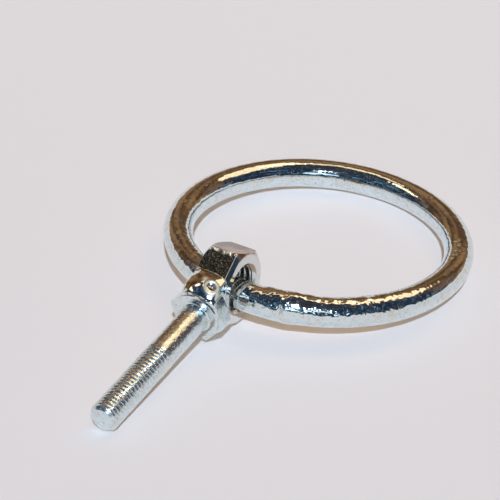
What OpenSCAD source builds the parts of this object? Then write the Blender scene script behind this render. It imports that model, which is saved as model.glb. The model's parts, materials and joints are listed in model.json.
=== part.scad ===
// Ring bolt lying on a table: a closed ring of round bar runs loose through a hex nut,
// and a hex bolt is welded head-first on one flat of that nut.
// Frame: Z is up and Z = 0 is the table, X is the nut's bore, the bolt points to -Y and the
// ring lies to +Y. The origin is under the middle of the whole object.

/* [Ring] */
// Diameter of the round bar
bar_d = 10; // [8:0.5:11]
// Clear width inside the ring
ring_inside = 85; // [70:1:110]
// How far the ring has slewed round in the nut, in degrees
ring_slew = 10.5; // [0:0.5:12]
// How far the ring's butt weld stands above the bar
ring_bead = 0.35; // [0.1:0.05:0.6]
// Place of the butt weld round the ring, in degrees from the nut
ring_bead_at = 27; // [24:1:180]

/* [Nut] */
// Width across the nut's flats
nut_af = 24; // [23:0.5:30]
// Thickness of the nut
nut_m = 12.5; // [11:0.5:16]
// Diameter of the bore
bore_d = 15.4; // [14.8:0.1:16.5]
// Diameter of the countersink at each face
mouth_d = 17.3; // [16.8:0.1:19]
// Diameter of the flat ring on each face, inside the corner chamfer
nut_face_d = 22.6; // [21:0.1:22.8]
// Slope of the nut's corner chamfers, in degrees
corner_chamfer = 30; // [15:1:35]
// Room between the bar and the bore where they come closest
bar_gap = 0.3; // [0.15:0.05:0.6]

/* [Bolt] */
// Width across the flats of the bolt's head
head_af = 17; // [16:0.5:19]
// Height of the head with its washer face
head_k = 7; // [6:0.1:9]
// How far the head is turned about the bolt's axis out of line with the nut, in degrees
head_turn = 12; // [0:1:30]
// Diameter of the washer face under the head
washer_face_d = 16.4; // [15:0.1:16.8]
// Height of the washer face
washer_face_h = 0.6; // [0.3:0.1:1]
// Length of the bolt under its head
bolt_l = 55; // [45:1:80]
// Diameter of the plain shank
shank_d = 9.75; // [9:0.05:10]
// Diameter over the thread's crests
thread_d = 9.9; // [9.5:0.05:10]
// Length of the threaded end
thread_l = 34; // [20:1:40]
// Chamfer at the bolt's end
end_chamfer = 1; // [0.5:0.1:1.6]
// Radius of the fillet under the head
root_fillet = 0.7; // [0.4:0.1:1.2]

/* [Weld between nut and head] */
// How far the weld runs back over the nut's flats from the flat that carries the head
weld_back = 5; // [3:0.5:6]
// How far the weld runs along the head
weld_along = 5.8; // [3:0.1:6]
// Width of the weld on the nut's flats
weld_w = 11.4; // [9:0.1:11.6]
// How far the weld's crown sinks from its toe on the nut to the head's seat
weld_sink = 0.4; // [0.2:0.1:1]
// Thickness of the weld between the nut's flat and the top of the head
weld_root = 0.3; // [0.2:0.05:0.6]
// Bare metal left between the weld and the bore's mouth
mouth_margin = 0.8; // [0.4:0.1:1.2]

/* [Hidden] */

bar_r = bar_d / 2;
ring_r = (ring_inside + bar_d) / 2;
bore_r = bore_d / 2;
mouth_r = mouth_d / 2;
nut_corner_r = nut_af / 2 / cos(30);
thread_r = thread_d / 2;
shank_r = shank_d / 2;
mouth_depth = mouth_r - bore_r;

// The bolt's own axis starts at the nut's centre.
flat_at = nut_af / 2;
head_top = flat_at + weld_root;
seat = head_top + head_k;
tip = seat + bolt_l;

// The object rests on a corner of the nut and on the thread at the tip.
bolt_dip = atan((nut_corner_r - thread_r) / (tip - end_chamfer));
nut_z = nut_corner_r * cos(bolt_dip);

// The bar hangs low in the bore, as far as its slewed run through it lets it.
wall_half = nut_m / 2 - mouth_depth;
bar_aside = wall_half * tan(ring_slew) + wall_half * wall_half / (2 * ring_r);
bar_play = bore_r - bar_r / cos(ring_slew) - bar_gap;
bar_drop = sqrt(max(bar_play * bar_play - bar_aside * bar_aside, 0));

// The ring's far side comes down to the table.
ring_tilt = asin((nut_z - bar_drop - bar_r) / (2 * ring_r));
ring_away = ring_r * cos(ring_tilt);
ring_x = ring_away * sin(ring_slew);
ring_y = ring_away * cos(ring_slew);
ring_z = bar_r + ring_r * sin(ring_tilt);

// Middle of the object seen from above
reach_y = ring_r * sqrt(1 - pow(sin(ring_tilt) * cos(ring_slew), 2)) + bar_r;
tip_r = thread_r - end_chamfer;
tip_y = tip * cos(bolt_dip) + tip_r * sin(bolt_dip);
middle_x = ring_x;
middle_y = (ring_y + reach_y - tip_y) / 2;

// Lumps on the butt weld: degrees along the ring from the weld, degrees round the bar, radius
LUMPS = [[-6, 120, 2.4], [-3, 60, 2.0], [5, 100, 2.6], [8, 150, 1.9], [2, 200, 2.2]];
lump_rise = 0.45;

$fn = 96;

module at_nut() {
    translate([-middle_x, -middle_y, nut_z]) children();
}

// Turns Z to the bolt's axis, which points to -Y and dips towards the table, with X kept.
module along_bolt() {
    at_nut() rotate([90 + bolt_dip, 0, 0]) children();
}

module hex_prism(across_flats, h) {
    cylinder(r = across_flats / 2 / cos(30), h = h, $fn = 6);
}

// A body of revolution that takes the corners at both faces of the nut down to its chamfers.
module corner_cutter() {
    face_r = nut_face_d / 2;
    over = nut_corner_r + 1;
    rise = (over - face_r) * tan(corner_chamfer);
    rotate_extrude()
        polygon([
            [0, 0], [face_r, 0], [over, rise], [over, nut_m - rise], [face_r, nut_m], [0, nut_m]
        ]);
}

// The nut without its bore, on the X axis, with a flat towards -Y and a corner down.
module nut_blank() {
    translate([-nut_m / 2, 0, 0])
        rotate([0, 90, 0])
            intersection() {
                hex_prism(nut_af, nut_m);
                corner_cutter();
            }
}

module bore_cutter() {
    half = nut_m / 2;
    past = 1;
    rotate([0, 90, 0])
        rotate_extrude()
            polygon([
                [0, -half - past], [mouth_r + past, -half - past], [bore_r, -half + mouth_depth],
                [bore_r, half - mouth_depth], [mouth_r + past, half + past], [0, half + past]
            ]);
}

// The head's corners are melted into the weld, so it has no chamfer of its own.
module head_blank() {
    rotate([0, 0, -head_turn]) hex_prism(head_af, head_k - washer_face_h);
}

module ring() {
    color("lightsteelblue")
        translate([ring_x - middle_x, ring_y - middle_y, ring_z])
            rotate([0, 0, -ring_slew])
                rotate([-ring_tilt, 0, 0])
                    rotate([0, 0, -90]) {
                        rotate_extrude() translate([ring_r, 0]) circle(r = bar_r);
                        rotate([0, 0, ring_bead_at]) translate([ring_r, 0, 0]) sphere(r = bar_r + ring_bead);
                        for (lump = LUMPS)
                            rotate([0, 0, ring_bead_at + lump[0]])
                                translate([ring_r, 0, 0])
                                    rotate([0, -lump[1], 0])
                                        translate([bar_r + lump_rise - lump[2], 0, 0])
                                            sphere(r = lump[2]);
                    }
}

module hex_nut() {
    color("silver")
        at_nut() rotate([bolt_dip, 0, 0])
            difference() {
                nut_blank();
                bore_cutter();
            }
}

module stud_bolt() {
    washer_r = washer_face_d / 2;
    thread_from = tip - thread_l;
    run_out = thread_r - shank_r;
    color("gainsboro")
        along_bolt() {
            translate([0, 0, head_top]) head_blank();
            rotate_extrude()
                difference() {
                    polygon([
                        [0, seat - washer_face_h], [washer_r, seat - washer_face_h], [washer_r, seat],
                        [shank_r + root_fillet, seat], [shank_r + root_fillet, seat + root_fillet],
                        [shank_r, seat + root_fillet], [shank_r, thread_from - run_out],
                        [thread_r, thread_from], [thread_r, tip - end_chamfer], [tip_r, tip], [0, tip]
                    ]);
                    translate([shank_r + root_fillet, seat + root_fillet]) circle(r = root_fillet);
                }
        }
}

// Weld metal from the flats on both sides of the head's seat, on to and under the head.
module head_weld() {
    toe = flat_at - weld_back;
    buried = 0.05;
    toe_half = (nut_af / 2 - toe * cos(60)) / sin(60) - buried;
    inset = 0.35;
    color("rosybrown")
        along_bolt()
            difference() {
                hull() {
                    weld_block(toe, toe_half);
                    weld_block(head_top - inset, toe_half - weld_sink);
                    translate([0, 0, head_top + inset])
                        rotate([0, 0, -head_turn]) hex_prism(head_af - inset, weld_along - inset);
                }
                rotate([-90, 0, 0]) nut_blank();
                translate([0, 0, head_top]) head_blank();
                rotate([0, 90, 0]) cylinder(r = mouth_r + mouth_margin, h = 3 * nut_m, center = true);
            }
}

// A slab of the weld across the whole seat
module weld_block(from, half_h) {
    slab = 1;
    translate([-weld_w / 2, -half_h, from]) cube([weld_w, 2 * half_h, slab]);
}

ring();
hex_nut();
stud_bolt();
head_weld();
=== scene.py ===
"""A bright zinc-plated ring bolt lying on a pale table.

A closed ring of round bar runs loose through a hex nut, and a hex bolt is welded head-first on
one flat of the nut. Lengths are in millimetres until a mesh is made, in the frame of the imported
model: Z up, the table at Z = 0, X along the nut's bore, the bolt towards -Y.
"""
import json
import math

import bmesh
import bpy
import numpy as np
from mathutils import Matrix, Vector


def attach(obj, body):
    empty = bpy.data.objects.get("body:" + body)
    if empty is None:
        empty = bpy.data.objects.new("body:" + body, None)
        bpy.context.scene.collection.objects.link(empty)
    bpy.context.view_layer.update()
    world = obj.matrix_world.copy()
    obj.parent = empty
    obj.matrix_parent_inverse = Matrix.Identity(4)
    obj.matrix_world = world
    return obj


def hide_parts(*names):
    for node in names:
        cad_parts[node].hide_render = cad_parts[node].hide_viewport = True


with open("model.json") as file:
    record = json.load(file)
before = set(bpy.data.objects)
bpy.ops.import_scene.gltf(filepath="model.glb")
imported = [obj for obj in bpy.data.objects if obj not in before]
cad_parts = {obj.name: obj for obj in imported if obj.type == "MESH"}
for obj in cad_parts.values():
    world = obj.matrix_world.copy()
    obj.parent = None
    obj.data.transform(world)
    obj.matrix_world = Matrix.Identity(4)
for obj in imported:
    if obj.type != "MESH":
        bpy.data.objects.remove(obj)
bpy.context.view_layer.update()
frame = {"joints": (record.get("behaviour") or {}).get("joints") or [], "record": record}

MM = 0.001


# ---------------------------------------------------------------- where things are

def unit(v):
    v = np.asarray(v, float)
    return v / np.linalg.norm(v)


# The joint stands at the nut's centre, and the stud's mount gives the bolt's own axis.
nut_centre = np.array(frame["joints"][0]["pos_m"]) / MM
bolt_way = unit(frame["record"]["mounts"][0]["axis"])
bore_way = np.array([1.0, 0.0, 0.0])
up_way = np.cross(bore_way, bolt_way) * -1.0
up_way = up_way if up_way[2] > 0 else -up_way

# The ring: its bar, how it is slewed and tilted in degrees, its middle, and its butt weld: degrees
# from the nut, height over the bar and half its length along it
BAR_R = 5.0
RING_R = 47.5
RING_SLEW = 10.5
RING_TILT = 4.1199
RING_CENTRE = np.array([0.0, 34.2183, 8.4126])
BEAD_AT = 27.0
BEAD_HEIGHT = 0.28
BEAD_HALF = 3.4

# The nut: lengths from its middle, and the slope of its corner chamfers in degrees from its faces
NUT_FLAT = 12.0
NUT_HALF = 6.25
NUT_FACE_R = 11.6
NUT_CHAMFER = 40.0
BORE_R = 7.7
BORE_END = 5.3

# The bolt: places along its own axis, which starts at the nut's middle, radii, and its head's
# chamfer and turn in degrees
HEAD_TOP = 12.3
HEAD_FLAT = 8.5
HEAD_FACE_R = 8.05
HEAD_CHAMFER = 30.0
HEAD_TURN = -12.0
HEAD_END = 18.7
SEAT = 19.3
WASHER_R = 8.2
SHANK_R = 4.875
THREAD_R = 4.95
THREAD_FROM = 40.3
TIP = 74.3
FILLET = 0.7
END_CHAMFER = 1.0

SIN_60 = math.sin(math.radians(60.0))


def on_bolt(ax, v, s):
    """Points given across the bolt, upwards and along it, in the frame"""
    return (nut_centre + np.multiply.outer(ax, bore_way) + np.multiply.outer(v, up_way)
            + np.multiply.outer(s, bolt_way))


def rot(axis, degrees):
    return np.array(Matrix.Rotation(math.radians(degrees), 3, axis))


ring_turn = rot("Z", -RING_SLEW) @ rot("X", -RING_TILT)


# ---------------------------------------------------------------- node trees

class Wire:
    """A socket in a node tree. Sums written on it add Math nodes to the tree."""

    def __init__(self, tree, socket=None):
        self.tree = tree
        self.socket = socket

    def node(self, kind, settings=None, sockets=None, out=0):
        """A new node: its settings, then values or links for its sockets; gives one output"""
        made = self.tree.nodes.new(kind)
        for key, value in (settings or {}).items():
            setattr(made, key, value)
        for key, value in (sockets or {}).items():
            if isinstance(value, Wire):
                self.tree.links.new(value.socket, made.inputs[key])
            else:
                made.inputs[key].default_value = value
        return Wire(self.tree, made.outputs[out] if len(made.outputs) else None)

    def maths(self, operation, *values):
        return self.node("ShaderNodeMath", {"operation": operation}, dict(enumerate(values)))

    def split(self):
        """The X, Y and Z of a vector"""
        made = self.node("ShaderNodeSeparateXYZ", None, {0: self}).socket.node
        return [Wire(self.tree, out) for out in made.outputs]

    def colour(self, a, b, share):
        """b over a, by share"""
        return self.node("ShaderNodeMix", {"data_type": "RGBA"}, {0: share, 6: a, 7: b}, 2)

    def noise(self, at, grain, detail=2.0, roughness=0.5):
        return self.node("ShaderNodeTexNoise", {"noise_dimensions": "3D"},
                         {"Vector": at, "Scale": grain, "Detail": detail,
                          "Roughness": roughness})

    def __add__(self, other):
        return self.maths("ADD", self, other)

    def __radd__(self, other):
        return self.maths("ADD", other, self)

    def __sub__(self, other):
        return self.maths("SUBTRACT", self, other)

    def __rsub__(self, other):
        return self.maths("SUBTRACT", other, self)

    def __mul__(self, other):
        return self.maths("MULTIPLY", self, other)

    def __rmul__(self, other):
        return self.maths("MULTIPLY", other, self)

    def __truediv__(self, other):
        return self.maths("DIVIDE", self, other)

    def __rtruediv__(self, other):
        return self.maths("DIVIDE", other, self)

    def clamp(self, low=0.0, high=1.0):
        return self.maths("MINIMUM", self.maths("MAXIMUM", self, low), high)

    def between(self, low, high):
        """0 below low, 1 above high and a straight rise between them"""
        return ((self - low) / (high - low)).clamp()


def shader_tree(name):
    material = bpy.data.materials.new(name)
    material.use_nodes = True
    material.node_tree.nodes.clear()
    return material, Wire(material.node_tree)


# ---------------------------------------------------------------- finishes

DULL_ZINC = (0.46, 0.45, 0.42, 1.0)
# Orange of painted glints: dull spots standing in for golden glints
PAINTED_GLINT_ORANGE = (0.44, 0.27, 0.11, 1.0)
GRIME = (0.17, 0.11, 0.07, 1.0)
# Heat tints. On the nut's flat beside the ring they paint a brown-pink reflection of the dark room,
# not heat.
STRAW_HEAT_AND_REFLECTION = (0.62, 0.43, 0.33, 1.0)
PURPLE_HEAT_AND_REFLECTION = (0.33, 0.27, 0.32, 1.0)
# Black of char by the weld, and of painted shade in the stake's slit
SOOT_AND_SHADE = (0.04, 0.04, 0.04, 1.0)
ASH = (0.52, 0.46, 0.32, 1.0)
# Cream of painted highlights, which are also made matte
PAINTED_HIGHLIGHT_CREAM = (0.82, 0.71, 0.50, 1.0)


def plating(name, tint=(0.75, 0.84, 0.86), warm=(0.80, 0.80, 0.74), sheen=0.09, peel=0.15,
            grain=0.03, peel_size=900.0, flecks=0.3, worn=0.0):
    """Bright zinc. The attribute "rough" is 1 where the metal under it was left rough. The next
    attribute is 1 where the heat of welding left it dark, and also where painted shade and a
    painted dark reflection go: black in the stake's slit, and a brown-pink tint on the nut's flat
    beside the ring. The last attribute marks painted cream highlights, made matte. Sheen is the
    bare roughness and worn what "rough" adds to it; peel and grain are the heights of its waves
    and its fine grain in mm; flecks is the share of painted orange glints and of grime in its
    spotted places."""
    material, net = shader_tree(name)
    at = net.node("ShaderNodeTexCoord", out=3)
    rough = net.node("ShaderNodeAttribute", {"attribute_name": "rough"}, out=2)
    burnt_and_shaded = net.node("ShaderNodeAttribute", {"attribute_name": "burnt_and_shaded"}, out=2)
    highlight_paint = net.node("ShaderNodeAttribute", {"attribute_name": "highlight_paint"}, out=2)
    cloud = net.noise(at, 120.0, 3.0)
    blotch = net.noise(at, 480.0, 3.0, 0.6)
    speck = net.noise(at, 1500.0, 2.0, 0.6)
    skin = net.noise(at, peel_size, 1.0, 0.4)
    spotted = blotch.between(0.44, 0.56) * flecks
    # painted glints: dull orange spots at random, which catch the lamps as golden glints
    painted_glint = speck.between(0.58, 0.64) * spotted
    grime = (0.41 - speck).between(0.0, 0.05) * spotted
    ash = net.noise(at, 2300.0, 2.0, 0.6).between(0.50, 0.64)
    # tint of welding heat, and on the nut's flat beside the ring a painted brown-pink reflection of
    # the dark room
    tempered_and_reflecting = burnt_and_shaded.between(0.0, 0.35)
    # black where welding charred the flat next to the weld, and painted shade in the stake's slit
    charred_and_shaded = burnt_and_shaded.between(0.4, 0.9)
    stain = (cloud.between(0.46, 0.70) * 0.5 + blotch.between(0.45, 0.70) * 0.5).clamp()
    colour = net.colour((*tint, 1.0), (*warm, 1.0), stain)
    colour = net.colour(colour, DULL_ZINC, blotch.between(0.48, 0.72) * 0.18)
    colour = net.colour(colour, PAINTED_GLINT_ORANGE, painted_glint)
    colour = net.colour(colour, GRIME, grime * 0.8)
    heat_and_reflection_tint = net.colour(STRAW_HEAT_AND_REFLECTION, PURPLE_HEAT_AND_REFLECTION, cloud.between(0.44, 0.56))
    colour = net.colour(colour, heat_and_reflection_tint, tempered_and_reflecting * 0.85)
    char_and_shade = net.colour(SOOT_AND_SHADE, ASH, ash * 0.6)
    colour = net.colour(colour, char_and_shade, charred_and_shaded)
    # painted cream highlights on the nut's burr and bevel lip, the stake's lip, a dab and the
    # weld's toe
    colour = net.colour(colour, PAINTED_HIGHLIGHT_CREAM, highlight_paint * 0.95)
    gloss = (sheen + worn * rough + 0.03 * cloud.between(0.35, 0.7) + 0.45 * painted_glint + 0.3 * grime
             + 0.12 * tempered_and_reflecting + 0.12 * charred_and_shaded + 0.40 * highlight_paint).clamp(0.03, 0.9)
    metal = (1.0 - 0.85 * painted_glint - 0.4 * grime - 0.55 * highlight_paint).clamp()
    height = (skin * (peel * (1.0 + 4.0 * rough))
              + speck * (grain * (1.0 + 3.0 * charred_and_shaded + 2.5 * worn * rough)))
    bump = net.node("ShaderNodeBump", None, {"Strength": 1.0, "Distance": MM, "Height": height})
    shader = net.node("ShaderNodeBsdfPrincipled", None,
                      {"Base Color": colour, "Metallic": metal, "Roughness": gloss, "Normal": bump})
    net.node("ShaderNodeOutputMaterial", None, {"Surface": shader})
    return material


ring_plating = plating("ring zinc plating", sheen=0.035, peel=0.09, grain=0.008, peel_size=430.0,
                       flecks=0.33)
nut_plating = plating("nut zinc plating", tint=(0.72, 0.76, 0.76), warm=(0.76, 0.76, 0.74),
                      peel=0.03, grain=0.015, flecks=0.06)
bolt_plating = plating("bolt zinc plating", peel=0.025, grain=0.013, peel_size=900.0, sheen=0.09,
                       flecks=0.45, worn=0.13)
weld_plating = plating("weld zinc plating", sheen=0.045, peel=0.04, grain=0.008, peel_size=600.0,
                       flecks=0.05)


# ---------------------------------------------------------------- meshes

LATTICE = 32


def lattice_noise(points, size, seed):
    """Smooth noise from -1 to 1 at each point, with lumps about size across"""
    table = np.random.RandomState(seed).uniform(-1.0, 1.0, (LATTICE,) * 3)
    q = np.asarray(points, float) / size + 1000.0
    cell = np.floor(q).astype(int)
    f = q - cell
    f = f * f * (3.0 - 2.0 * f)
    total = 0.0
    for dx in (0, 1):
        for dy in (0, 1):
            for dz in (0, 1):
                share = (np.where(dx, f[..., 0], 1 - f[..., 0])
                         * np.where(dy, f[..., 1], 1 - f[..., 1])
                         * np.where(dz, f[..., 2], 1 - f[..., 2]))
                corner = table[(cell[..., 0] + dx) % LATTICE, (cell[..., 1] + dy) % LATTICE,
                               (cell[..., 2] + dz) % LATTICE]
                total = total + share * corner
    return total


def step(x, low, high):
    """A smooth rise from 0 at low to 1 at high"""
    t = np.clip((x - low) / (high - low), 0.0, 1.0)
    return t * t * (3.0 - 2.0 * t)


def shell(points):
    """Vertices and faces of a stack of rings of points. Each end closes on its middle point:
    the last two vertices are the middles, and the last faces close the last ring."""
    rings, around = points.shape[:2]
    i, j = np.meshgrid(np.arange(rings - 1), np.arange(around), indexing="ij")
    up, side = i + 1, (j + 1) % around
    faces = np.stack([i * around + j, i * around + side, up * around + side, up * around + j],
                     -1).reshape(-1, 4).tolist()
    verts = np.concatenate([points.reshape(-1, 3), points[0].mean(0)[None],
                            points[-1].mean(0)[None]])
    for ring, middle in ((0, rings * around), (rings - 1, rings * around + 1)):
        faces += [[ring * around + (k + 1) % around, ring * around + k, middle]
                  for k in range(around)]
    return verts, faces


# Corners of a piece that are closer than this, in mm, become one.
MERGE = 0.004
MARKS = ("rough", "burnt_and_shaded", "highlight_paint")


def piece(name, parts, material, body, node, marks, crease=38.0):
    """One finished piece from several shells or meshes, riding on a body in a CAD node's place.
    Marks are the functions of place that give its attributes; the others are 0."""
    mesh = bpy.data.meshes.new(name)
    verts, faces, base = [], [], 0
    for part_verts, part_faces in parts:
        verts.append(part_verts)
        faces += [[base + k for k in face] for face in part_faces]
        base += len(part_verts)
    mesh.from_pydata((np.concatenate(verts) * MM).tolist(), [], faces)
    work = bmesh.new()
    work.from_mesh(mesh)
    bmesh.ops.remove_doubles(work, verts=work.verts, dist=MERGE * MM)
    bmesh.ops.dissolve_degenerate(work, dist=MERGE * MM * 0.5, edges=work.edges)
    bmesh.ops.recalc_face_normals(work, faces=work.faces)
    work.to_mesh(mesh)
    work.free()
    at = np.empty(len(mesh.vertices) * 3)
    mesh.vertices.foreach_get("co", at)
    at = at.reshape(-1, 3) / MM
    for mark in MARKS:
        value = marks[mark](at) if mark in marks else np.zeros(len(at))
        attribute = mesh.attributes.new(mark, "FLOAT", "POINT")
        attribute.data.foreach_set("value", value.astype(np.float32))
    mesh.materials.append(material)
    mesh.shade_smooth()
    mesh.set_sharp_from_angle(angle=math.radians(crease))
    made = bpy.data.objects.new(name, mesh)
    bpy.context.scene.collection.objects.link(made)
    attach(made, body)
    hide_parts(node)


def size_tree(name, sizes):
    """A geometry tree with a named input for each size"""
    tree = bpy.data.node_groups.new(name, "GeometryNodeTree")
    tree.interface.new_socket("Geometry", in_out="OUTPUT", socket_type="NodeSocketGeometry")
    for label, value in sizes.items():
        whole = isinstance(value, int)
        made = tree.interface.new_socket(
            label, in_out="INPUT", socket_type="NodeSocketInt" if whole else "NodeSocketFloat")
        made.default_value = value
    made = tree.nodes.new("NodeGroupInput")
    return tree, Wire(tree), {label: Wire(tree, made.outputs[label]) for label in sizes}


def close_tree(net, geometry, material):
    """Ends a geometry tree: a real mesh with its material"""
    real = net.node("GeometryNodeRealizeInstances", None, {0: geometry})
    dressed = net.node("GeometryNodeSetMaterial", None, {"Geometry": real, "Material": material})
    net.node("NodeGroupOutput", None, {0: dressed})


def grown(tree, sizes):
    """Runs a geometry tree with its sizes and returns the mesh's vertices, in mm, and faces"""
    holder = bpy.data.objects.new("holder", bpy.data.meshes.new("holder"))
    bpy.context.scene.collection.objects.link(holder)
    modifier = holder.modifiers.new("tree", "NODES")
    modifier.node_group = tree
    for socket in tree.interface.items_tree:
        if socket.in_out == "INPUT" and socket.name in sizes:
            modifier[socket.identifier] = sizes[socket.name]
    bpy.context.view_layer.update()
    mesh = bpy.data.meshes.new_from_object(holder.evaluated_get(
        bpy.context.evaluated_depsgraph_get()))
    at = np.empty(len(mesh.vertices) * 3)
    mesh.vertices.foreach_get("co", at)
    faces = [list(face.vertices) for face in mesh.polygons]
    bpy.data.objects.remove(holder)
    return at.reshape(-1, 3), faces


# ---------------------------------------------------------------- screw thread

# Over this many mm the tube of a thread is closed where its two edges meet.
SEAM = 0.002

# The two threads, in mm. A groove sinks towards the axis where its depth is above 0; its width
# and floor are shares of the pitch.
BOLT_COLUMNS = 96
NUT_COLUMNS = 384
BOLT_THREAD = {"Start": THREAD_FROM, "Length": TIP - THREAD_FROM, "Pitch": 1.5,
               "First radius": SHANK_R, "Radius": THREAD_R, "Depth": 0.52, "Groove width": 0.56,
               "Groove floor": 0.08, "Fade in": 2.2, "Fade out": 0.0,
               "End radius": THREAD_R - END_CHAMFER, "End rounding": 0.6,
               "Columns": BOLT_COLUMNS, "Rows": 360}
NUT_THREAD = {"Start": -BORE_END, "Length": 2 * BORE_END, "Pitch": 2.0, "First radius": BORE_R,
              "Radius": BORE_R, "Depth": -0.3, "Groove width": 0.34, "Groove floor": 0.12,
              "Fade in": 0.25, "Fade out": 0.25, "End radius": 50.0, "End rounding": 0.6,
              "Columns": NUT_COLUMNS, "Rows": 64}


def thread_tree(material):
    """A tube along Z with a helical groove, for the bolt's thread and what is left of the nut's"""
    tree, net, size = size_tree("helical groove", BOLT_THREAD)
    grid = net.node("GeometryNodeMeshGrid", None,
                    {"Size X": 1.0, "Size Y": 1.0, "Vertices X": size["Columns"] + 1,
                     "Vertices Y": size["Rows"] + 1})
    place = net.node("GeometryNodeInputPosition")
    column, row, _ = place.split()
    turn = column + 0.5
    along = (row + 0.5) * size["Length"]
    left = size["Length"] - along
    phase = net.maths("FRACT", along / size["Pitch"] - turn + 100.0)
    off_middle = net.maths("ABSOLUTE", phase * 2.0 - 1.0)
    groove = ((size["Groove width"] - off_middle)
              / (size["Groove width"] - size["Groove floor"])).clamp()
    groove = groove * groove * (3.0 - 2.0 * groove) * 0.35 + groove * 0.65
    # the 0.001 keeps a fade of no length from being divided by
    fade_in = (along / (size["Fade in"] + 0.001)).clamp()
    fade_out = (left / (size["Fade out"] + 0.001)).clamp()
    crest = size["First radius"] + (size["Radius"] - size["First radius"]) * fade_in
    radius = net.maths("SMOOTH_MIN", crest - size["Depth"] * groove * (fade_in * fade_out),
                       size["End radius"] + left, size["End rounding"])
    angle = turn * (2.0 * math.pi)
    spot = net.node("ShaderNodeCombineXYZ", None,
                    {0: net.maths("COSINE", angle) * radius, 1: net.maths("SINE", angle) * radius,
                     2: along + size["Start"]})
    tube = net.node("GeometryNodeSetPosition", None, {"Geometry": grid, "Position": spot})
    tube = net.node("GeometryNodeMergeByDistance", None, {"Geometry": tube, "Distance": SEAM})
    close_tree(net, tube, material)
    return tree


groove_tree = thread_tree(bolt_plating)


def spun(around, first=0.0):
    """Equal steps round an axis from the angle first, in degrees: angles, cosines and sines"""
    t = np.radians(first) + np.linspace(0.0, 2.0 * math.pi, around, endpoint=False)
    return t, np.cos(t), np.sin(t)


def stacked(rings, t):
    """Rings of (radius, height) as an array of radii and one of heights, with a column for each
    angle. A ring's radius may be one number or one for each angle."""
    r = np.array([np.broadcast_to(radius, t.shape) for radius, _ in rings])
    return r, np.array([np.full_like(t, height) for _, height in rings])


def hex_radius(t, flat, corners_at, soft):
    """Distance to a hexagon's side at angle t. Its corners are sharper where soft is larger."""
    total = 0.0
    for k in range(6):
        face = math.radians(corners_at + 30.0 + 60.0 * k)
        total = total + np.maximum(np.cos(t - face), 0.0) ** soft
    return flat / total ** (1.0 / soft)


def soft_min(a, b, blend):
    """The lesser of two values, rounded over blend where they cross"""
    h = np.clip(0.5 + 0.5 * (b - a) / blend, 0.0, 1.0)
    return b * (1 - h) + a * h - blend * h * (1 - h)


def soft_max(a, b, blend):
    return -soft_min(-a, -b, blend)


# ---------------------------------------------------------------- ring

RING_SIZES = {"Ring radius": RING_R, "Bar radius": BAR_R, "Steps round the ring": 840,
              "Steps round the bar": 80, "Skin depth": 0.05, "Skin grain": 0.45}


def ring_tree(material):
    """Round bar bent to a ring, with the skin of drawn bar under its plating"""
    tree, net, size = size_tree("bar ring", RING_SIZES)
    path = net.node("GeometryNodeCurvePrimitiveCircle", None,
                    {"Resolution": size["Steps round the ring"], "Radius": size["Ring radius"]})
    outline = net.node("GeometryNodeCurvePrimitiveCircle", None,
                       {"Resolution": size["Steps round the bar"], "Radius": size["Bar radius"]})
    bar = net.node("GeometryNodeCurveToMesh", None, {"Curve": path, "Profile Curve": outline})
    place = net.node("GeometryNodeInputPosition")
    normal = net.node("GeometryNodeInputNormal")
    skin = net.noise(place, size["Skin grain"])
    offset = net.node("ShaderNodeVectorMath", {"operation": "SCALE"},
                      {0: normal, "Scale": (skin - 0.5) * size["Skin depth"]})
    bar = net.node("GeometryNodeSetPosition", None, {"Geometry": bar, "Offset": offset})
    close_tree(net, bar, material)
    return tree


# Lumps, hollows and pits: degrees from the nut round the ring, degrees round the bar from its
# outer side to its top, half length along the bar, half width round it, and height
RING_MARKS = [
    (19.5, 112, 2.4, 2.2, 0.55), (23.5, 98, 2.0, 2.6, 0.30), (30.0, 96, 2.6, 2.4, 0.60),
    (35.0, 108, 2.4, 2.0, 0.30), (27.0, 60, 1.8, 2.4, 0.35), (27.0, 150, 2.2, 2.6, 0.45),
    (29.0, 200, 2.4, 2.6, 0.40), (26.0, 250, 2.2, 2.4, 0.30),
    (25.3, 12, 0.7, 1.9, -0.55), (23.6, 30, 1.0, 0.8, -0.25), (27.6, 22, 1.2, 1.0, 0.25),
    (126.5, 104, 0.5, 0.9, -0.35), (123.0, 97, 0.6, 0.5, -0.30), (118.0, 92, 0.5, 1.0, -0.32),
    (114.5, 98, 0.5, 0.8, -0.30), (111.5, 104, 0.7, 0.5, -0.25), (121.0, 86, 0.4, 0.6, 0.18),
    (164.3, 100, 0.9, 0.6, -0.35), (163.0, 103, 0.8, 0.6, 0.22), (-18.3, 72, 0.7, 0.6, -0.22),
    (-38.0, 80, 0.6, 0.8, -0.18), (62.0, 12, 0.8, 0.5, -0.15), (-64.0, 95, 0.5, 0.7, -0.18),
]


def ring_place(local):
    """Where a point of the ring is: its distance from the ring's own axis, degrees from the nut
    round the ring, and degrees round the bar from its outer side to its top"""
    far = np.hypot(local[:, 0], local[:, 1])
    along = np.degrees(np.arctan2(local[:, 0], -local[:, 1]))
    about = np.degrees(np.arctan2(local[:, 2], far - RING_R)) % 360.0
    return far, along, about


def turned(about, middle):
    """Degrees from the middle to a place round the bar, the shorter way"""
    return (about - middle + 180.0) % 360.0 - 180.0


def ring_rough(along, about):
    """How rough the bar's skin is at a place, 0 to 1: worst on the front next to the butt weld"""
    near = step(along, 9.0, 17.0) * (1 - step(along, 60.0, 90.0))
    front = 1 - step(np.abs(turned(about, 40.0)), 40.0, 80.0)
    other_end = 0.3 * step(along, -42.0, -20.0) * (1 - step(along, -6.0, 0.0))
    return np.clip(near * (0.35 + 0.65 * front) + other_end, 0, 1)


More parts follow.
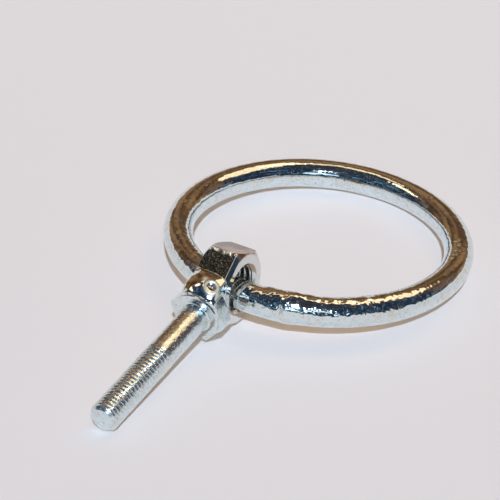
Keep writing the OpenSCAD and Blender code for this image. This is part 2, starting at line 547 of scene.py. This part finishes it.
def ring_skin():
    local, faces = grown(ring_tree(ring_plating), RING_SIZES)
    far, along, about = ring_place(local)
    out = np.stack([local[:, 0] / far * (far - RING_R), local[:, 1] / far * (far - RING_R),
                    local[:, 2]], 1)
    out /= np.linalg.norm(out, axis=1)[:, None]
    # mm for each degree round the ring and round the bar
    arc = math.radians(1.0) * RING_R
    bar_arc = math.radians(1.0) * BAR_R
    rise = BEAD_HEIGHT * np.exp(-(((along - BEAD_AT) * arc) / BEAD_HALF) ** 2)
    for mark_along, mark_about, half_long, half_wide, height in RING_MARKS:
        dx = (along - mark_along) * arc / half_long
        dy = turned(about, mark_about) * bar_arc / half_wide
        rise = rise + height * np.exp(-(dx * dx + dy * dy))
    uneven = 0.08 * lattice_noise(local, 2.6, 3) + 0.03 * lattice_noise(local, 1.3, 4)
    rise = rise + ring_rough(along, about) * uneven
    rise = rise + 0.03 * lattice_noise(local, 5.0, 5)
    return (local + out * rise[:, None]) @ ring_turn.T + RING_CENTRE, faces


def ring_rough_at(at):
    _, along, about = ring_place((at - RING_CENTRE) @ ring_turn)
    return ring_rough(along, about)


# ---------------------------------------------------------------- hex nut

# Middles of the two seen flats and the burr on the corner between them, in degrees from the bolt
# round the bore
WELD_SIDE = 60.0
RING_SIDE = 120.0
BURR_AT = 88.0
# How deep under the right face the bevel ends in a lip
BEVEL_LIP = 1.42


def nut_body():
    """The nut's faces, chamfers and flats as rings of points round the bore"""
    t, cos_t, sin_t = spun(NUT_COLUMNS)
    side = hex_radius(t, NUT_FLAT, 30.0, 90.0)
    depths = np.concatenate([[0.0, 0.03, 0.08, 0.14, 0.2], np.arange(0.28, 1.75, 0.07),
                             np.arange(1.85, NUT_HALF + 0.01, 0.17)])
    slope = 1 / math.tan(math.radians(NUT_CHAMFER))
    # on the flat next to the weld the right edge is bevelled more, with a lip along the bevel
    turn = t - math.radians(WELD_SIDE)
    next_to_weld = np.abs(turn) < math.radians(31.0)
    mouth = [(BORE_R, BORE_END), (8.0, 5.6), (8.35, 5.95), (8.62, 6.22)]
    mouth += [(r, NUT_HALF) for r in (8.72, 9.3, 10.0, 10.7, 11.1, 11.35)]

    def rim(depth, right):
        cone = NUT_FACE_R + slope * depth + 0.10 * (1 - math.exp(-depth / 0.08))
        r = soft_min(side, cone, 0.12)
        if right:
            bevel = (11.12 + 0.62 * depth) / np.maximum(np.cos(turn), 0.5)
            lip = 0.14 * math.exp(-((depth - BEVEL_LIP) / 0.13) ** 2)
            r = np.where(next_to_weld, soft_min(r, bevel, 0.1) + lip, r)
        return r

    right = mouth + [(rim(depth, True), NUT_HALF - depth) for depth in depths]
    left = [(rim(depth, False), depth - NUT_HALF) for depth in depths[-2::-1]]
    left += [(r, -x) for r, x in reversed(mouth)]
    r, x = stacked(right + left, t)
    at = np.stack([x, r * cos_t, r * sin_t], -1)
    face = (1 - step(np.abs(np.degrees(t) - WELD_SIDE), 24.0, 29.0)) * (1 - step(x, 4.5, 4.8))
    on_flat = step(r, 11.6, 11.95)
    pits = (0.10 * lattice_noise(at, 0.7, 11) + 0.06 * lattice_noise(at, 0.45, 12)
            + 0.08 * lattice_noise(at, 1.9, 13)) - 0.08
    r = r + face * on_flat * pits
    burr = np.exp(-((np.degrees(t) - BURR_AT) / 2.6) ** 2) * on_flat
    burr = burr * (1 - step(np.abs(x), 4.3, 4.9))
    r = r + burr * np.clip(0.65 * lattice_noise(at, 0.75, 14) + 0.05, -0.15, 0.5)
    r = r + on_flat * 0.03 * lattice_noise(at, 3.0, 15)
    # both ends stay open for the bore
    verts, faces = shell(on_bolt(x, r * sin_t, r * cos_t))
    return verts[:-2], faces[:-2 * NUT_COLUMNS]


def nut_bore():
    tube, faces = grown(groove_tree, NUT_THREAD)
    return on_bolt(tube[:, 2], tube[:, 1], tube[:, 0]), faces


def from_nut(at):
    """Places as lengths across the bolt, upwards and along it, the other way of on_bolt"""
    off = at - nut_centre
    return off @ bore_way, off @ up_way, off @ bolt_way


def nut_flat_mask(at, middle):
    """1 on the flat whose middle is at that many degrees from the bolt, round the bore"""
    _, v, s = from_nut(at)
    turn = np.degrees(np.arctan2(v, s))
    return (1 - step(np.abs(turn - middle), 25.0, 30.0)) * step(np.hypot(v, s), 11.3, 11.9)


def nut_burnt_and_shaded_at(at):
    across, _, _ = from_nut(at)
    # Welding heat darkens the flat next to the weld. A third as much on the flat beside the ring
    # paints a brown-pink tint there, which stands in for the dark room it reflects.
    flat = nut_flat_mask(at, WELD_SIDE) * (1 - step(across, 4.6, 4.95))
    return np.clip(flat + 0.34 * nut_flat_mask(at, RING_SIDE), 0, 1)


def nut_highlight_paint_at(at):
    """Painted cream highlights, made matte: the burr on the corner between the two seen flats, and
    the lip along the bevel
    """
    across, v, s = from_nut(at)
    turn = np.degrees(np.arctan2(v, s))
    broken = step(lattice_noise(at, 0.9, 17), -0.25, 0.05)
    ragged = np.abs(turn - 87.3 + 1.4 * lattice_noise(at, 1.5, 18))
    burr = (1 - step(ragged, 1.5, 2.7)) * broken * (1 - step(across, 4.6, 5.2))
    lip_at = NUT_HALF - BEVEL_LIP
    lip = np.exp(-((across - lip_at) / 0.09) ** 2) * (1 - step(np.abs(turn - 62.0), 22.0, 27.0))
    return np.clip(burr + lip, 0, 1) * (np.hypot(v, s) > 11.0)


# ---------------------------------------------------------------- bolt

def head_skin():
    """Hex head with a chamfer at its top, a washer face under it and its upper side melted"""
    t, cos_t, sin_t = spun(240, HEAD_TURN)
    side = hex_radius(t, HEAD_FLAT, HEAD_TURN, 70.0)
    rings = [(r, HEAD_TOP) for r in (2.0, 5.0, 7.2, 7.9)]
    slope = 1 / math.tan(math.radians(HEAD_CHAMFER))
    for depth in np.concatenate([np.arange(0.0, 1.4, 0.1), np.arange(1.5, 6.0, 0.25), [6.1, 6.2]]):
        rings.append((soft_min(side, HEAD_FACE_R + slope * depth, 0.15), HEAD_TOP + depth))
    for inset, left in ((0.02, 0.12), (0.07, 0.05), (0.16, 0.01), (0.3, 0.0)):
        rings.append((side - inset, HEAD_END - left))
    rings += [(8.22, HEAD_END), (WASHER_R, 18.75), (WASHER_R, 19.15), (8.17, 19.25)]
    rings += [(r, SEAT) for r in (8.08, 7.4, 6.4, 5.4, 3.0)]
    r, s = stacked(rings, t)
    melted = ball_radius(t, s, BALL_AT, BALL_R) - 0.05
    upper = step(sin_t, 0.25, 0.45) * (1 - step(-cos_t, 0.28, 0.45))
    r = np.where(s < HEAD_END + 0.01, r + upper * np.minimum(melted - r, 0.0), r)
    return shell(on_bolt(r * cos_t, r * sin_t, s))


def shank_skin():
    """Fillet under the head and the plain shank, open where the thread goes on"""
    t, cos_t, sin_t = spun(BOLT_COLUMNS)
    rings = [(2.0, SEAT - 0.4), (SHANK_R + FILLET, SEAT - 0.3), (SHANK_R + FILLET, SEAT)]
    for a in np.radians(np.arange(10.0, 91.0, 10.0)):
        rings.append((SHANK_R + FILLET * (1 - math.sin(a)), SEAT + FILLET * (1 - math.cos(a))))
    rings += [(SHANK_R, s) for s in np.linspace(SEAT + FILLET + 0.5, THREAD_FROM, 42)]
    r, s = stacked(rings, t)
    verts, faces = shell(on_bolt(r * cos_t, r * sin_t, s))
    return verts[:-1], faces[:-BOLT_COLUMNS]


def shank_rough_at(at):
    """The rolled shank and thread are duller than the head"""
    _, _, s = from_nut(at)
    return step(s, SEAT + 0.3, SEAT + 1.5)


def thread_skin():
    """The thread and the flat end of the bolt"""
    tube, faces = grown(groove_tree, BOLT_THREAD)
    rim = [k for k in range(len(tube)) if abs(tube[k, 2] - TIP) < 1e-4]
    rim.sort(key=lambda k: math.atan2(tube[k, 1], tube[k, 0]))
    middle = len(tube)
    verts = np.concatenate([tube, [[0.0, 0.0, TIP]]])
    faces = faces + [[rim[k], rim[(k + 1) % len(rim)], middle] for k in range(len(rim))]
    return on_bolt(verts[:, 0], verts[:, 1], verts[:, 2]), faces


# ---------------------------------------------------------------- weld between nut and head

# The weld and the melted top of the head make part of a ball: its centre across the bolt,
# upwards and along the bolt, and its radius. Underneath it is a plainer bead.
BALL_AT = (0.4, 0.7, 11.4)
BALL_R = 10.6
UNDER_AT = (0.0, 0.0, 11.0)
UNDER_R = 10.3
# How far from the nut's middle the thin run of weld on the flat lies, the start of the ramp from
# it to the ball, and how far along the bolt that ramp starts
RUN_AT = 12.22
RAMP_AT = 12.3
RAMP_FROM = 7.2
# Where, along the bolt, the weld's edge starts to curl in and where it ends
WELD_CURL = 18.2
WELD_END = 18.62
# Half the weld's width on the nut, and how far it stays from the bore's own axis
WALL = 6.1
BORE_CLEAR = 9.6
# The stake mark's middle, across the bolt and along it, and its radius
STAKE_AT = (3.7, 14.5)
STAKE_R = 2.0


def ball_radius(t, s, at, radius):
    """Distance from the bolt's axis to the ball at angle t"""
    off = s - at[2]
    size = np.sqrt(np.maximum(radius ** 2 - np.where(off < 0, 0.35, 1.0) * off ** 2, 1.0))
    to = at[0] * np.cos(t) + at[1] * np.sin(t)
    return to + np.sqrt(np.maximum(size ** 2 - at[0] ** 2 - at[1] ** 2 + to ** 2, 0.1))


def weld_radius(t, s):
    """Distance from the bolt's axis to the weld at angle t and at s along the bolt"""
    cos_t, sin_t = np.cos(t), np.sin(t)
    top = ball_radius(t, s, BALL_AT, BALL_R)
    # the nut's flat leans back at 60 degrees
    lean = np.maximum(sin_t, 0.3)
    shelf = (RUN_AT - 0.5 * s) / SIN_60 / lean
    ramp = (RAMP_AT + 0.8 * (s - RAMP_FROM) - 0.5 * s) / SIN_60 / lean
    top = soft_max(soft_min(top, ramp, 0.7), shelf, 0.5)
    under = ball_radius(t, s, UNDER_AT, UNDER_R)
    r = under + (top - under) * step(sin_t, -0.2, 0.2)
    return soft_min(r, WALL / np.maximum(np.abs(cos_t), 0.05), 0.5)


def weld_toe(t):
    """How far along the bolt the weld starts at angle t, clear of the nut's bore"""
    cos_t, sin_t = np.cos(t), np.sin(t)
    across = np.clip(9.7 * cos_t / np.maximum(sin_t, 0.3) + 3.0, 0.0, 10.0)
    toe = np.where(sin_t > 0, 6.95 + 0.10 * across + 0.0105 * across ** 2, 6.9)
    height = np.abs(sin_t) * weld_radius(t, toe)
    return soft_max(toe, np.sqrt(np.maximum(BORE_CLEAR ** 2 - height ** 2, 0.1)), 0.4)


def stake_slit(dx, ds):
    """1 in the slit across the stake mark's floor, at a place from the mark's middle"""
    return (np.exp(-((ds + 0.19 * dx + 0.45) / 0.34) ** 2)
            * (1 - step(np.abs(dx - 0.2), 0.8, 1.3)))


def weld_skin():
    t, cos_t, sin_t = spun(360)
    hexagon = hex_radius(t, HEAD_FLAT, HEAD_TURN, 60.0)
    toe = weld_toe(t) + 0.25 * lattice_noise(np.stack([3 * cos_t, 3 * sin_t, 0 * t], -1), 0.45, 31)
    rings_r, rings_s = [], []
    for row in np.concatenate([np.linspace(0.0, 0.08, 9), np.linspace(0.09, 1.0, 105)]):
        s = toe + row * (WELD_END - toe)
        r = weld_radius(t, s)
        # the toe rolls in to the nut behind a low swell
        roll = 0.9 * (1 - step(row, 0.0, 0.04)) ** 2
        r = r - roll + 0.12 * math.exp(-((row - 0.045) / 0.02) ** 2)
        over = step(s, HEAD_TOP - 0.1, HEAD_TOP + 0.9)
        side = soft_min(hexagon - 0.12, ball_radius(t, s, BALL_AT, BALL_R) + 0.3, 0.5)
        r = np.where(over > 0, soft_max(r, side * (0.8 + 0.2 * over), 0.7 * over + 1e-3), r)
        r = r - 0.35 * step(s, WELD_CURL, WELD_END)
        rings_r.append(r)
        rings_s.append(s)
    r, s = np.array(rings_r), np.array(rings_s)
    at = np.stack([r * cos_t, r * sin_t, s], -1)
    free = step(sin_t, 0.2, 0.4)
    r = r + free * (0.09 * lattice_noise(at, 2.6, 21) + 0.03 * lattice_noise(at, 1.1, 22))
    # stake: a round punch mark with a raised lip and a slit across its floor
    dx, ds = r * cos_t - STAKE_AT[0], s - STAKE_AT[1]
    off = np.hypot(dx, ds)
    lip = 0.30 * np.exp(-((off - STAKE_R) / 0.42) ** 2)
    floor = -0.15 * (1 - step(off, 0.8, 1.5))
    r = r + np.where(sin_t > 0.3, lip + floor - 0.6 * stake_slit(dx, ds), 0.0)
    points = on_bolt(r * cos_t, r * sin_t, s)
    # the back closes inside the nut's wall, clear of its bore
    inner = []
    for share in (0.15, 0.4, 0.65, 0.85):
        rr = r[0] * share
        ss = np.sqrt(np.maximum(BORE_CLEAR ** 2 - (rr * sin_t) ** 2, 30.0))
        inner.append(on_bolt(rr * cos_t, rr * sin_t, np.maximum(ss, s[0] * share)))
    return shell(np.concatenate([np.array(inner), points]))


def weld_highlight_paint_at(at):
    """Painted cream highlights, made matte: the lip of the stake, a dab beside it and the weld's
    toe on the nut
    """
    across, v, s = from_nut(at)
    away = np.hypot(across - STAKE_AT[0], s - STAKE_AT[1])
    lip = np.exp(-((away - STAKE_R) / 0.52) ** 2)
    dab = np.exp(-((across - 0.4) / 0.75) ** 2 - ((s - 12.6) / 0.8) ** 2)
    past_toe = s - weld_toe(np.arctan2(v, across))
    edge = 0.8 * np.exp(-((past_toe - 0.5) / 0.28) ** 2)
    edge = edge * step(lattice_noise(at, 1.3, 33), -0.5, 0.1)
    return np.clip((lip + dab + edge) * (v > 3.0), 0, 1)


def weld_slit_shade_at(at):
    # Painted shade: the stake's slit is painted soot black for the shade in its groove.
    across, v, s = from_nut(at)
    slit = stake_slit(across - STAKE_AT[0], s - STAKE_AT[1])
    return np.clip(1.1 * slit * (v > 3.0), 0, 1)


# ---------------------------------------------------------------- the pieces

piece("loose_ring", [ring_skin()], ring_plating, "ring", "ring",
      marks={"rough": ring_rough_at}, crease=60.0)
piece("eye_nut", [nut_body(), nut_bore()], nut_plating, "eye", "hex_nut",
      marks={"burnt_and_shaded": nut_burnt_and_shaded_at, "highlight_paint": nut_highlight_paint_at})
piece("welded_bolt", [head_skin(), shank_skin(), thread_skin()], bolt_plating, "eye",
      "stud_bolt", marks={"rough": shank_rough_at})
piece("neck_weld", [weld_skin()], weld_plating, "eye", "head_weld",
      marks={"highlight_paint": weld_highlight_paint_at, "burnt_and_shaded": weld_slit_shade_at}, crease=60.0)


# ---------------------------------------------------------------- table and light

# Which outputs of Light Path tell the kind of a ray
CAMERA_RAY, GLOSSY_RAY, TRANSMISSION_RAY = 0, 3, 6
TABLE_HALF = 12.0
TABLE_COLOUR = (0.745, 0.75, 0.785, 1.0)
DARK = (0.0, 0.0, 0.0, 1.0)
GLOW = (0.155, 0.10, 0.05, 1.0)
CEILING = (0.035, 0.036, 0.045, 1.0)
BACKDROP = (0.72, 0.71, 0.72, 1.0)


def table_top():
    """A pale table. The camera, mirrors and glass see a warm glow on it that lights nothing."""
    material, net = shader_tree("pale table")
    direct, mirrored, through_glass = (
        net.node("ShaderNodeLightPath", out=ray)
        for ray in (CAMERA_RAY, GLOSSY_RAY, TRANSMISSION_RAY))
    shown = net.maths("MAXIMUM", net.maths("MAXIMUM", direct, mirrored), through_glass)
    glow = net.colour(DARK, GLOW, shown)
    shader = net.node("ShaderNodeBsdfPrincipled", None,
                      {"Base Color": TABLE_COLOUR, "Roughness": 0.7,
                       "Specular IOR Level": 0.2, "Emission Color": glow,
                       "Emission Strength": 1.0})
    net.node("ShaderNodeOutputMaterial", None, {"Surface": shader})
    mesh = bpy.data.meshes.new("table")
    corners = [(x * TABLE_HALF, y * TABLE_HALF, 0) for x, y in ((-1, -1), (1, -1), (1, 1), (-1, 1))]
    mesh.from_pydata(corners, [], [(0, 1, 2, 3)])
    mesh.materials.append(material)
    table = bpy.data.objects.new("table", mesh)
    bpy.context.scene.collection.objects.link(table)


# The camera: its place in mm, its turn in degrees and its lens in mm
CAMERA_AT = (345.2, -620.2, 481.16)
CAMERA_TURN = (57.1206, -1.2934, 30.4337)
CAMERA_LENS = 187.2
camera_side = unit((0.4939, -0.8695, 0.0))
camera_right = unit((0.8695, 0.4939, 0.0))


def room():
    """Dim walls, brown on the far side and navy behind the camera. Their lowest part is a pale
    backdrop, which the camera and the metal see alike."""
    world = bpy.data.worlds.new("room")
    bpy.context.scene.world = world
    world.use_nodes = True
    world.node_tree.nodes.clear()
    net = Wire(world.node_tree)
    way = net.node("ShaderNodeTexCoord", out=0)
    up = way.split()[2]
    facing = net.node("ShaderNodeVectorMath", {"operation": "DOT_PRODUCT"},
                      {0: way, 1: tuple(camera_side)}, 1)
    side = facing.between(-0.55, 0.05)
    patch = net.noise(way, 3.4, 0.6).between(0.34, 0.66)
    brown = net.colour((0.07, 0.034, 0.015, 1.0), (0.31, 0.16, 0.068, 1.0), patch)
    pane = net.noise(way, 8.0, 1.0).between(0.55, 0.66)
    navy = net.colour((0.014, 0.025, 0.05, 1.0), (0.12, 0.22, 0.32, 1.0), pane)
    walls = net.colour(brown, navy, side)
    walls = net.colour(walls, CEILING, up.between(0.80, 0.93))
    walls = net.colour(BACKDROP, walls, up.between(0.115, 0.145))
    back = net.node("ShaderNodeBackground", None, {"Color": walls, "Strength": 1.0})
    net.node("ShaderNodeOutputWorld", None, {"Surface": back})


COOL = (0.60, 0.82, 1.0)
PALE_BLUE = (0.74, 0.86, 1.0)
WARM = (1.0, 0.74, 0.45)


def lamp(name, colour, power, size, at, kind="AREA"):
    """An oval lamp or a far one, aimed at the middle of the object: its size is two lengths in
    metres, or one angle in degrees for the far lamp"""
    data = bpy.data.lights.new(name, kind)
    data.color = colour
    data.energy = power
    if kind == "AREA":
        data.shape = "ELLIPSE"
        data.size, data.size_y = size
    else:
        data.angle = math.radians(size)
    made = bpy.data.objects.new(name, data)
    bpy.context.scene.collection.objects.link(made)
    made.location = at
    made.rotation_euler = (-Vector(at)).to_track_quat("-Z", "Y").to_euler()


def from_side(turn, height, distance):
    """A place seen from the middle of the object: degrees to the camera's right, degrees up and
    metres away"""
    a, e = math.radians(turn), math.radians(height)
    flat = camera_side * math.cos(a) + camera_right * math.sin(a)
    return tuple(distance * (flat * math.cos(e) + np.array([0, 0, math.sin(e)])))


def camera():
    data = bpy.data.cameras.new("camera")
    data.lens = CAMERA_LENS
    data.sensor_width = 36.0
    data.clip_end = 100.0
    made = bpy.data.objects.new("camera", data)
    bpy.context.scene.collection.objects.link(made)
    made.location = [c * MM for c in CAMERA_AT]
    made.rotation_euler = [math.radians(a) for a in CAMERA_TURN]
    bpy.context.scene.camera = made


table_top()
room()
lamp("lamp by the camera", PALE_BLUE, 2.95, 2.2, from_side(1.0, 46.0, 2.0), kind="SUN")
lamp("cool window by the camera", COOL, 1.2, (0.95, 0.32), from_side(2.0, 27.0, 1.6))
lamp("warm lamp to the right", WARM, 2.6, (1.0, 0.8), from_side(130.0, 56.0, 1.5))
lamp("warm lamp to the left", WARM, 0.85, (0.32, 0.55), from_side(-110.0, 53.0, 1.5))
lamp("warm lamp behind", WARM, 1.2, (1.3, 0.32), from_side(180.0, 69.0, 1.5))
camera()

bpy.context.scene.view_settings.view_transform = "Standard"
